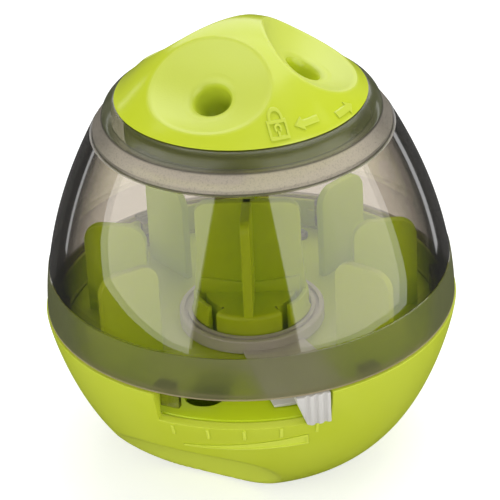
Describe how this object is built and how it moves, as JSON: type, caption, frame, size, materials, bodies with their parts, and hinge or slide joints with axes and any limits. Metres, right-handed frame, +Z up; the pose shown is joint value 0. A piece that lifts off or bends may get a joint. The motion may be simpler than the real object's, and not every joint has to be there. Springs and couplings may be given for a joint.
{
  "type": "treat dispensing ball",
  "caption": "Self-righting treat dispensing egg for dogs: weighted bowl, lever-set gate, smoked dome with inner fins and a dished twist-on cap with treat holes.",
  "frame": {"origin": "centre of the flat foot that the toy stands on", "axes": "+Z up along the toy's own axis; -Y out through the middle of the lever window; +X to the right of a person who faces the window"},
  "size_m": [0.11, 0.1096, 0.1217],
  "materials": {
    "lime_shell": "satin moulded, scoops lightly textured",
    "lime_cap": "satin, dishes finely sparked",
    "lime_inner": "plain moulded",
    "smoked_clear": "polished, neck and foot band frosted",
    "lever_white": "satin",
    "weight_iron": "painted",
    "screw_steel": "zinc plated"
  },
  "bodies": {
    "base": {"base_bowl": "lime_shell", "counterweight": "weight_iron", "weight_cover": "lime_inner", "cover_screws": "screw_steel", "fin_tray": "lime_inner", "tray_screws": "screw_steel", "cross_vane": "lime_inner", "vane_screw": "screw_steel"},
    "gate": {"gate_ring": "lever_white"},
    "dome": {"dome": "smoked_clear"},
    "cap": {"top_cap": "lime_cap"}
  },
  "joints": [
    {"name": "gate_turn", "type": "hinge", "parent": "base", "child": "gate", "pos_m": [0, 0, 0.0352], "axis": [0, 0, 1], "range_deg": [-38.4, 0]},
    {"name": "dome_twist", "type": "hinge", "parent": "base", "child": "dome", "pos_m": [0, 0, 0.0432], "axis": [0, 0, 1], "range_deg": [-14, 0]},
    {"name": "cap_twist", "type": "hinge", "parent": "dome", "child": "cap", "pos_m": [0, 0, 0.103], "axis": [0, 0, 1], "range_deg": [0, 61]}
  ]
}
